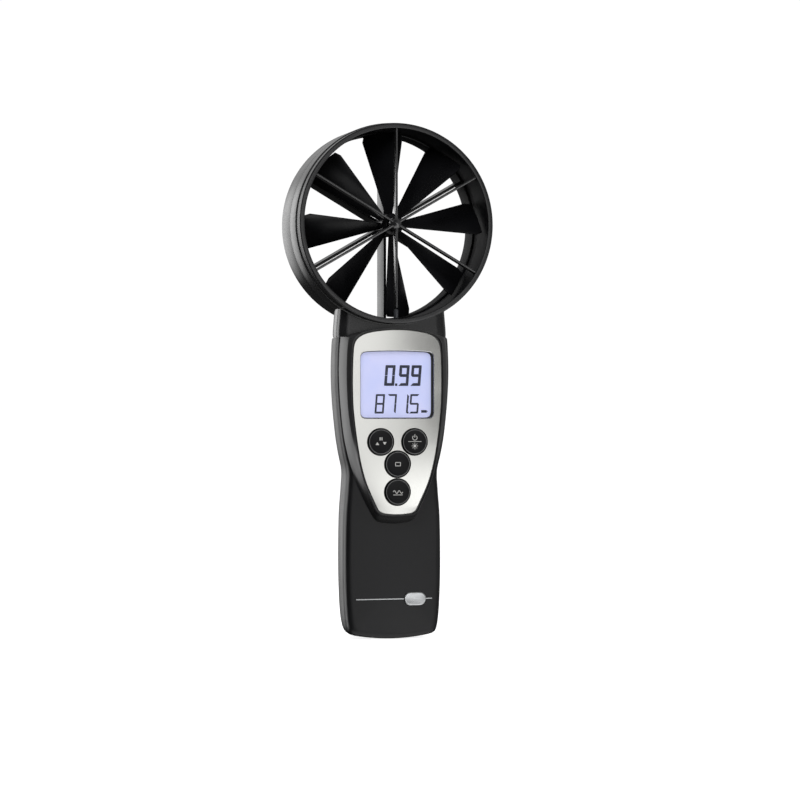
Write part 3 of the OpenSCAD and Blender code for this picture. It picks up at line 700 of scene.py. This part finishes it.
# Inset and depth of the back's outer rings and how far their tops drop
BACK_PROFILE = [(0.15, PARTING_GAP, 0.0), (0.38, 2.5, 0.0), (0.75, 5.5, 0.05), (1.3, 8.5, 0.15),
                (2.0, 12, 0.45), (2.9, 15, 1.0), (3.6, 17.7, 2.1), (4.4, 20, 3.6), (5.2, 21.8, 5.5),
                (6.1, 23.4, 8), (7.0, 24.4, 10), (7.9, 25.05, 11.8), (9.2, 25.4, 13.4), (10.5, 25.5, 14.8)]
SCREW_PLACES = [(-24.3, 98.3), (24.3, 98.3), (-18.6, -27), (18.6, -27)]


def back_rings():
    rings = [handle_ring(i, y, d) for i, y, d in BACK_PROFILE]
    rings += [handle_ring(i, 25.5, d) for i, d in ((13, 17.5), (17, 21.5), (21, 25.5), (25, 29.5))]
    return rings


def counterbore(at, y0, y1, r_head, r_hole):
    return lathe([(0, y0 - 20), (r_hole, y0 - 20), (r_hole, y0), (r_head, y0), (r_head, y1), (0, y1)], at, 36)


def rear_shell():
    inner = [(WALL + 8, 23.5, 15), (WALL + 4.9, 20, 8.4), (WALL + 2.9, 15, 4), (WALL + 1.3, 8.5, 2),
             (WALL + 0.15, PARTING_GAP, 2)]
    rings = [handle_ring(i, y, d) for i, y, d in inner] + back_rings()
    obj = new_object("grip_back", *skin(rings))
    walls = [bar((-15, 15), (0, 23), (-33.7, 23.7)), bar((14.7, 18.4), (18.6, 23.9), (-23.5, 23.7)),
             bar((-18.4, -14.7), (18.6, 23.9), (-23.5, 23.7))]
    carve(obj, walls, "UNION")
    cuts = [bar((-13.8, 13.8), (1, 22), (-32.5, 22.5)), bar((-4, 4), (5, 14), (21.5, 25.5)),
            bar((-15.6, 15.6), (21.0, 30), (-50, 24.3)), bar((-17.6, 17.6), (21.0, 23.2), (-50, 24.3)),
            bar((-19.7, 19.7), (-5.7, 11.7), (112, 122))]
    cuts += [counterbore(at, 15.6, 30, 2.2, 1.2) for at in SCREW_PLACES]
    carve(obj, cuts)
    piece(obj, "housing", housing, ["rear_shell"], sharp=34)


def battery_cover():
    obj = new_object("battery_door", *skin(back_rings()))
    carve(obj, [bar((-15.3, 15.3), (21.3, 30), (-50, 24))], "INTERSECT")
    tongues = new_object("tongues", *skin(back_rings()))
    carve(tongues, [bar((-17.3, 17.3), (21.3, 22.9), (-50, 24))], "INTERSECT")
    carve(obj, [taken_apart(tongues)], "UNION")
    ridges = []
    for i in range(5):
        z = 8.5 + 2.2 * i
        half = 7 - 0.35 * abs(i - 2)
        corners = [(-half, z - 0.55), (half, z - 0.55), (half, z + 0.55), (-half, z + 0.55)]
        ridges.append(prism(fillet(corners, 0.5, closed=True), 24.85, 27))
    carve(obj, ridges)
    piece(obj, "battery_cover_body", housing, ["battery_cover"], sharp=30)


def surround():
    """Raised frame: a side that carries the grip's side on, a crease, and a bevel up to the plate."""
    low, high = surround_outline(), plate_outline(0.3)
    crease, crease_y = [], -16.1
    for a, b in zip(low, high):
        t = mix(0.55, 0.8, smoothstep((80 - b[1]) / 35))
        crease.append((mix(a[0], b[0], t), mix(a[1], b[1], t)))
    rings = []

    def climb(start, end, y0, y1, stations):
        for t, bulge in stations:
            ring = []
            for (x0, z0), (x1, z1) in zip(start, end):
                side = Vector((x0 - x1, z0 - z1))
                wide = side.length > 0.1
                push = side.normalized() * bulge * min(1, side.length / 2) if wide else Vector((0, 0))
                ring.append((mix(x0, x1, t) + push[0], mix(y0, y1, t), mix(z0, z1, t) + push[1]))
            rings.append(ring)
    climb(low, crease, -GRIP_FRONT, crease_y,
          [(-0.1, 0), (0, 0.02), (0.2, 0.14), (0.4, 0.22), (0.6, 0.22), (0.8, 0.13), (0.93, 0.03),
           (1.0, -0.04)])
    climb(crease, high, crease_y, -PLATE_FRONT + 0.05,
          [(0.1, 0.0), (0.4, 0.02), (0.7, 0.02), (0.9, 0.0), (0.98, -0.03)])
    rings.append([(x, -PLATE_FRONT + 0.1, z) for x, z in plate_outline(0.12)])
    inside, ledge = plate_outline(0.0), plate_outline(-LEDGE)
    rings.append([(x, -PLATE_FRONT + 0.3, z) for x, z in inside])
    rings.append([(x, -PLATE_BACK, z) for x, z in inside])
    rings.append([(x, -PLATE_BACK, z) for x, z in ledge])
    rings.append([(x, -9.6, z) for x, z in ledge])
    obj = new_object("display_frame", *skin(rings, closed=True))
    piece(obj, "housing", surround_black, ["display_surround"], sharp=24)


front_shell()
rear_shell()
battery_cover()
surround()


# ---------------------------------------------------------------- keypad plate and display

def window_outline(grow=0.0):
    """Window opening with an arched top and rounded upper corners."""
    w, low, high = WINDOW_HALF + grow, WINDOW_LOW - grow, WINDOW_HIGH + grow
    top = [(w * (1 - 2 * k / 20), high + 0.7 * (1 - (1 - 2 * k / 20) ** 2)) for k in range(21)]
    side_left = [(-w, mix(high, low, k / 16)) for k in range(1, 16)]
    bottom = [(mix(-w, w, k / 20), low) for k in range(21)]
    side_right = [(w, mix(low, high, k / 16)) for k in range(1, 16)]
    loop = top + side_left + bottom + side_right
    return softened(loop, 2, lambda p: abs(p[0]) > WINDOW_HALF - 5)


def plate_grid():
    """Slab of small squares, so that the plate's face can be bent after it is cut to shape."""
    columns, rows = 30, 50
    verts, faces = [], []
    x_half, z0, z1 = 27.0, 19.0, 122.0
    for y in (-PLATE_FRONT, -PLATE_BACK):
        for j in range(rows + 1):
            for i in range(columns + 1):
                verts.append((mix(-x_half, x_half, i / columns), y, mix(z0, z1, j / rows)))
    w = columns + 1
    layer = w * (rows + 1)
    for j in range(rows):
        for i in range(columns):
            a = j * w + i
            faces.append((a, a + 1, a + w + 1, a + w))
            faces.append((layer + a, layer + a + w, layer + a + w + 1, layer + a + 1))
    for i in range(columns):
        for a in (i, rows * w + i):
            faces.append((a, a + 1, layer + a + 1, layer + a))
    for j in range(rows):
        for a in (j * w, j * w + columns):
            faces.append((a, a + w, layer + a + w, layer + a))
    return verts, faces


def crowned_normals(mesh):
    """Normals of the bent face from its formula, so that the cuts leave no marks in its gloss."""
    normals = []
    step = 0.05
    for loop in mesh.loops:
        x, y, z = mesh.vertices[loop.vertex_index].co / MM
        gx = (crown(x + step, z) - crown(x - step, z)) / (2 * step)
        gz = (crown(x, z + step) - crown(x, z - step)) / (2 * step)
        normals.append(Vector((gx, -1, gz)).normalized())
    for poly in mesh.polygons:
        if poly.normal.y > -0.7:
            for li in poly.loop_indices:
                normals[li] = poly.normal.copy()
    return normals


def plate():
    obj = new_object("silver_plate", *plate_grid())
    edge = 0.28           # radius of the rolled edges
    carve(obj, [prism(plate_outline(-PLATE_JOINT - edge), -20, -10)], "INTERSECT")
    cuts = [prism(window_outline(edge), -20, -10)]
    cuts += [prism(circle(at, BUTTON_R + BUTTON_GAP + edge, 64), -20, -10) for at in BUTTON_PLACES.values()]
    carve(obj, cuts)
    for v in obj.data.vertices:
        x, y, z = v.co / MM
        if y < -PLATE_FRONT + 0.1:
            v.co.y = (y + crown(x, z)) * MM
    roll = [(-edge, -PLATE_FRONT), (-edge * 0.6, -PLATE_FRONT + 0.015), (-edge * 0.25, -PLATE_FRONT + 0.09),
            (0, -PLATE_FRONT + edge), (0, -PLATE_BACK)]
    strips = [rim(plate_outline(-PLATE_JOINT), roll, crown),
              rim(window_outline(), [(-o, y) for o, y in roll[:-1]] + [(0, -PLATE_BACK - 0.05)], crown)]
    strips += [rim(circle(at, BUTTON_R + BUTTON_GAP, 64), [(-o, y) for o, y in roll], crown)
               for at in BUTTON_PLACES.values()]
    edges = new_object("plate_edges", *merge(*strips))
    piece(edges, "housing", plate_metal, [], sharp=50)
    obj.data.polygons.foreach_set("use_smooth", [True] * len(obj.data.polygons))
    obj = piece(obj, "housing", plate_metal, ["keypad_plate"], sharp=50)
    obj.data.normals_split_custom_set(crowned_normals(obj.data))


def window_pane():
    half, low, high, n = 21.1, 70.7, 110.3, 20
    top = [(mix(half, -half, k / n), high) for k in range(n)]
    side_left = [(-half, mix(high, low, k / n)) for k in range(n)]
    bottom = [(mix(-half, half, k / n), low) for k in range(n)]
    side_right = [(half, mix(low, high, k / n)) for k in range(n)]
    loop = softened(top + side_left + bottom + side_right, 3, lambda p: abs(p[0]) > 19)
    window = new_object("window_pane", *skin([[(x, y, z) for x, z in loop] for y in (-16.28, -15.3)]))
    piece(window, "housing", window_clear, ["display_window"])


def display_border():
    """Black print round the display, with painted shadow that makes it wider at the right, where the window's
    inner wall shades the display.
    """
    outer, inner = window_outline(0.9), window_outline(-0.35)
    # Painted shadow: the band reaches 0.7 mm further in at the right.
    inner = [(x - (0.7 if x > 0 else 0), z) for x, z in inner]
    rings = [[(x, y, z) for x, z in loop] for loop, y in
             ((outer, -15.22), (inner, -15.22), (inner, -15.16), (outer, -15.16))]
    obj = new_object("display_border", *skin(rings, closed=True))
    piece(obj, "housing", chip_black, sharp=40)


plate()
window_pane()
display_border()

SEGMENTS = {"0": "abcdef", "1": "ef", "5": "acdfg", "7": "abc", "8": "abcdefg", "9": "abcdfg"}
DISPLAY_Y = -14.9
SLANT = 0.08


def printed(points):
    """Thin raised mark on the display."""
    return prism(points, DISPLAY_Y - 0.06, DISPLAY_Y - 0.01)


def digit(symbol, right, low, width, height, stroke):
    """Seven-segment numeral as raised strips, leaning to the right."""
    left, mid, high = right - width, low + height / 2, low + height
    s, gap = stroke, 0.07
    parts = []

    def seg(points):
        parts.append(printed([(x + (z - low) * SLANT, z) for x, z in points]))

    def level(z0, z1, cut0, cut1):
        seg([(left + gap + cut0, z0), (right - gap - cut0, z0), (right - gap - cut1, z1),
             (left + gap + cut1, z1)])

    def upright(outer, inner, z0, z1):
        """Strip with its inner corners cut back: fully at the numeral's end, little in the middle."""
        at_low, at_high = (s * 0.9, middle) if z0 == low else (middle, s * 0.9)
        seg([(outer, z0 + gap), (inner, z0 + gap + at_low), (inner, z1 - gap - at_high), (outer, z1 - gap)])

    on = SEGMENTS[symbol]
    middle = s * 0.5 if "g" in on else 0
    if "a" in on:
        level(high - s, high, s * 0.9, 0)
    if "d" in on:
        level(low, low + s, 0, s * 0.9)
    if "g" in on:
        h = s * 0.5
        seg([(left + gap + h, mid - h), (right - gap - h, mid - h), (right - gap, mid),
             (right - gap - h, mid + h), (left + gap + h, mid + h), (left + gap, mid)])
    if "f" in on:
        upright(left, left + s, mid, high)
    if "e" in on:
        upright(left, left + s, low, mid)
    if "b" in on:
        upright(right, right - s, mid, high)
    if "c" in on:
        upright(right, right - s, low, mid)
    return parts


def block_mark(x, z):
    return printed([(x[0], z[0]), (x[1], z[0]), (x[1], z[1]), (x[0], z[1])])


def point(x, z, size):
    return block_mark((x, x + size), (z, z + size))


def display_numerals():
    upper_low, lower_low = 89.8, 75.3
    marks = []
    for symbol, right in (("0", -1.2), ("9", 6.5), ("9", 13.1)):
        marks += digit(symbol, right, upper_low, 5.5, 10.9, 1.5)
    marks.append(point(-0.75, upper_low, 1.3))
    for symbol, right in (("8", -6.9), ("7", -0.4), ("1", 10.2), ("5", 11.9)):
        marks += digit(symbol, right, lower_low, 5.0, 10.2, 1.0)
    marks.append(point(5.75, lower_low, 0.95))
    battery_icon = [block_mark((13.6, 16.6), (75.7, 77.1)), block_mark((16.7, 17.1), (76.1, 76.7))]
    numerals = new_object("display_numerals", *merge(*marks, *battery_icon))
    piece(numerals, "housing", ink_dark)


display_numerals()


# ---------------------------------------------------------------- buttons

def stroke_loop(points, width):
    """Closed outline of a thin band along an open polyline."""
    side_a, side_b = [], []
    for i, p in enumerate(points):
        a, b = Vector(points[max(i - 1, 0)]), Vector(points[min(i + 1, len(points) - 1)])
        t = (b - a).normalized()
        n = Vector((-t[1], t[0])) * width / 2
        side_a.append((p[0] + n[0], p[1] + n[1]))
        side_b.append((p[0] - n[0], p[1] - n[1]))
    return side_a + side_b[::-1]


def arc(at, r, start, end, n=20):
    return [(at[0] + r * math.cos(math.radians(mix(start, end, k / n))),
             at[1] + r * math.sin(math.radians(mix(start, end, k / n)))) for k in range(n + 1)]


def glyph(kind, at):
    """Outlines of a button's printed symbol."""
    x, z = at
    w = 0.34
    if kind == "right":        # power and lamp
        marks = [stroke_loop(arc((x, z + 2.1), 1.25, 130, 410), w),
                 stroke_loop([(x, z + 2.2), (x, z + 3.9)], w),
                 stroke_loop([(x - 3.6, z + 0.1), (x + 3.6, z + 0.1)], 0.26)]
        marks.append(arc((x, z - 2.2), 0.75, 0, 350, 14))
        for k in range(8):
            a = math.radians(45 * k)
            marks.append(stroke_loop([(x + 1.05 * math.cos(a), z - 2.2 + 1.05 * math.sin(a)),
                                      (x + 1.75 * math.cos(a), z - 2.2 + 1.75 * math.sin(a))], 0.26))
        return marks
    if kind == "left":         # pause over highest and lowest
        marks = [stroke_loop([(x + s, z + 0.8), (x + s, z + 2.4)], 0.5) for s in (-0.5, 0.5)]
        marks += [[(x - 3.0, z - 1.6), (x - 1.0, z - 1.6), (x - 2.0, z - 0.1)],
                  [(x + 1.0, z - 0.1), (x + 3.0, z - 0.1), (x + 2.0, z - 1.6)]]
        return marks
    if kind == "upper":        # duct section
        marks = [stroke_loop([(x - 1.5, z + s * 0.9), (x + 1.5, z + s * 0.9)], w) for s in (-1, 1)]
        marks += [stroke_loop([(x + s * 1.35, z - 0.9), (x + s * 1.35, z + 0.9)], w) for s in (-1, 1)]
        return marks
    wave = [(x - 2.6 + 5.2 * k / 24, z + 0.75 * math.sin(k / 24 * 4 * math.pi)) for k in range(25)]
    return [stroke_loop(wave, w), stroke_loop([(x - 2.6, z - 1.5), (x + 2.6, z - 1.5)], 0.3)]


FACE = -18.3          # depth of the rims of the button caps


def button(name, at):
    body = f"button_{name}_body"
    profile = [(0, FACE + 0.20), (2.5, FACE + 0.19), (4.6, FACE + 0.14), (5.7, FACE + 0.07),
               (6.0, FACE + 0.03), (6.25, FACE + 0.0), (6.42, FACE + 0.04), (6.58, FACE + 0.14),
               (6.66, FACE + 0.28), (BUTTON_R, FACE + 0.5), (BUTTON_R, -13.7), (6.5, -13.5),
               (2.0, -13.5), (2.0, -9.8), (1.8, -9.6), (0, -9.6)]
    tab = bar((at[0] - 7.9, at[0] + 7.9), (-16.0, -14.7), (at[1] - 1.8, at[1] + 1.8))
    cap = new_object(f"cap_{name}", *merge(lathe(profile, at, 96), tab))
    piece(cap, body, button_black, [f"button_{name}"], sharp=40)
    # Grey ring at the cap's edge: a painted highlight of the edge.
    band = [(6.12, FACE + 0.03), (6.16, FACE - 0.012), (6.22, FACE - 0.03), (6.30, FACE - 0.03),
            (6.36, FACE - 0.005), (6.42, FACE + 0.05)]
    ring = new_object(f"ring_{name}", *lathe(band, at, 96))
    piece(ring, body, ring_highlight_grey, sharp=60)
    symbol = merge(*[prism(loop, FACE + 0.09, FACE + 0.24) for loop in glyph(name, at)])
    marks = new_object(f"symbol_{name}", *symbol)
    piece(marks, body, ink_light, sharp=40)


for name, at in BUTTON_PLACES.items():
    button(name, at)


# ---------------------------------------------------------------- trim on the grip

BADGE_AT, BADGE_SIZE = (11.5, -22.4), (12, 7)


def pill(at, size, grow=0.0):
    """Closed outline with two round ends."""
    r, c = size[1] / 2 + grow, (size[0] - size[1]) / 2

    def end(side, first):
        angles = [math.radians(a) for a in range(first, first + 181, 9)]
        return [(at[0] + side * c + r * math.cos(a), at[1] + r * math.sin(a)) for a in angles]
    return end(1, -90) + end(-1, 90)


def badge():
    profile = [(0.0, -GRIP_FRONT + 0.8), (0.0, -GRIP_FRONT - 0.22), (-0.08, -GRIP_FRONT - 0.38),
               (-0.28, -GRIP_FRONT - 0.48), (-0.7, -GRIP_FRONT - 0.5), (-1.2, -GRIP_FRONT - 0.42)]
    rings = [[(x, y, z) for x, z in pill(BADGE_AT, BADGE_SIZE, grow)] for grow, y in profile]
    piece(new_object("plain_badge", *skin(rings)), "housing", trim_metal, ["blank_badge"],
          sharp=40)


def grip_face(x):
    """Depth of the grip's crowned face."""
    return -GRIP_FRONT + GRIP_CROWN * (x / HANDLE_HALF) ** 2


def trim_line():
    """Thin strip across the grip, on both sides of the badge."""
    section = [(-0.3, 0.1), (-0.3, -0.05), (-0.2, -0.11), (0.2, -0.11), (0.3, -0.05), (0.3, 0.1)]
    line_z, n = -22.3, 24
    parts = []
    for x0, x1 in ((-20.5, 5.45), (17.55, 21)):
        rings = []
        for k in range(n + 1):
            x = mix(x0, x1, k / n)
            rings.append([(x, grip_face(x) + dy, line_z + dz) for dz, dy in section])
        parts.append(skin(rings))
    line = new_object("grip_line", *merge(*parts))
    piece(line, "housing", trim_metal, ["trim_strip"], sharp=40)


badge()
trim_line()


# ---------------------------------------------------------------- carried-over CAD nodes

for node, material in {
        "front_bearing": brass, "rear_bearing": brass, "rotor_shaft": steel, "rotor_magnet": magnet_grey,
        "pickup_sensor": sensor_grey, "sensor_leads": insulation, "neck_seal": rubber, "head_screws": steel,
        "display_glass": display_lavender, "display_holder": inner_white, "backlight": inner_white,
        "contact_strips": rubber, "circuit_board": board_green, "processor_chip": chip_black,
        "board_parts": ceramic, "key_mat": mat_rubber, "board_screws": steel, "housing_screws": steel,
        "battery": battery_wrap,
        "battery_connector": chip_black, "battery_leads": insulation, "battery_pad": rubber}.items():
    mesh = frame["nodes"][node].data
    mesh.materials.clear()
    mesh.materials.append(material)


# ---------------------------------------------------------------- stage, light and camera

def floor():
    size = 30.0
    mesh = bpy.data.meshes.new("floor")
    z = (HANDLE_LOW - 0.2) * MM
    mesh.from_pydata([(-size, -size, z), (size, -size, z), (size, size, z), (-size, size, z)], [],
                     [(0, 1, 2, 3)])
    obj = bpy.data.objects.new("floor", mesh)
    bpy.context.scene.collection.objects.link(obj)
    mat, tree, bsdf = shader("pale_floor")
    bsdf.inputs["Base Color"].default_value = (0.85, 0.85, 0.85, 1)
    bsdf.inputs["Roughness"].default_value = 0.9
    bsdf.inputs["Specular IOR Level"].default_value = 0.0
    bsdf.inputs["Emission Color"].default_value = (1, 1, 1, 1)
    bsdf.inputs["Emission Strength"].default_value = 0.82
    mesh.materials.append(mat)
    obj.visible_glossy = False
    obj.visible_diffuse = False


floor()

# Soft light from all round, in degrees: azimuth from the back towards +X, elevation, half-angle of the
# full part, half-angle where it ends, and the strength
LOBES = [
    (-14, 2, 4, 16, 1.9),
    (-8, 26, 10, 32, 0.55),
    (-12, 60, 20, 60, 0.5),
    (-62, 2, 12, 34, 4.6),
    (173, 5, 2, 14, 1.7),
    (162, -11, 4, 11, 2.2),
    (120, 20, 20, 60, 0.22),
    (150, -70, 25, 50, 1.4),
    (150, -25, 10, 30, 0.9),
    (70, 10, 12, 40, 0.5),
]


def world():
    """Lobes of light for the object, and a plain pale background behind it."""
    scene = bpy.context.scene
    w = bpy.data.worlds.new("studio")
    scene.world = w
    w.use_nodes = True
    tree = w.node_tree
    tree.nodes.clear()
    out = tree.nodes.new("ShaderNodeOutputWorld")
    coord = tree.nodes.new("ShaderNodeTexCoord")
    total = None
    for az, el, inner, outer, strength in LOBES:
        a, e = math.radians(az), math.radians(el)
        direction = (math.sin(a) * math.cos(e), math.cos(a) * math.cos(e), math.sin(e))
        dot = tree.nodes.new("ShaderNodeVectorMath")
        dot.operation = "DOT_PRODUCT"
        tree.links.new(coord.outputs["Generated"], dot.inputs[0])
        dot.inputs[1].default_value = direction
        ramp = tree.nodes.new("ShaderNodeMapRange")
        ramp.interpolation_type = "SMOOTHSTEP"
        ramp.inputs["From Min"].default_value = math.cos(math.radians(outer))
        ramp.inputs["From Max"].default_value = math.cos(math.radians(inner))
        ramp.inputs["To Max"].default_value = strength
        tree.links.new(dot.outputs["Value"], ramp.inputs["Value"])
        lobe = ramp.outputs["Result"]
        total = added(tree, total, lobe) if total else lobe
    studio, plain = tree.nodes.new("ShaderNodeBackground"), tree.nodes.new("ShaderNodeBackground")
    tree.links.new(added(tree, total, 0.03), studio.inputs["Strength"])
    plain.inputs["Color"].default_value = (1, 1, 1, 1)
    plain.inputs["Strength"].default_value = 1.02
    path = tree.nodes.new("ShaderNodeLightPath")
    pick = tree.nodes.new("ShaderNodeMixShader")
    tree.links.new(path.outputs["Is Camera Ray"], pick.inputs["Fac"])
    tree.links.new(studio.outputs[0], pick.inputs[1])
    tree.links.new(plain.outputs[0], pick.inputs[2])
    tree.links.new(pick.outputs[0], out.inputs["Surface"])


world()


def softbox(name, at, aim, size, watts):
    data = bpy.data.lights.new(name, "AREA")
    data.shape = "RECTANGLE"
    data.size, data.size_y = size
    data.energy = watts
    obj = bpy.data.objects.new(name, data)
    obj.location = at
    obj.rotation_euler = (Vector(aim) - Vector(at)).to_track_quat("-Z", "Y").to_euler()
    obj.visible_camera = False
    obj.visible_glossy = False
    bpy.context.scene.collection.objects.link(obj)


softbox("key", (-0.7, -1.1, 1.1), (0, 0, 0.08), (0.9, 0.9), 14)
softbox("fill", (1.1, -0.8, 0.5), (0, 0, 0.08), (0.8, 0.8), 6)

camera_data = bpy.data.cameras.new("camera")
camera_data.lens = 115.4
camera_data.sensor_width = 36
camera_data.clip_end = 100
camera = bpy.data.objects.new("camera", camera_data)
camera.location = (-0.36776, -1.3096, 0.0824)
camera.rotation_euler = (math.radians(90), 0, math.radians(-15.94))
bpy.context.scene.collection.objects.link(camera)
bpy.context.scene.camera = camera
bpy.context.scene.view_settings.view_transform = "Standard"
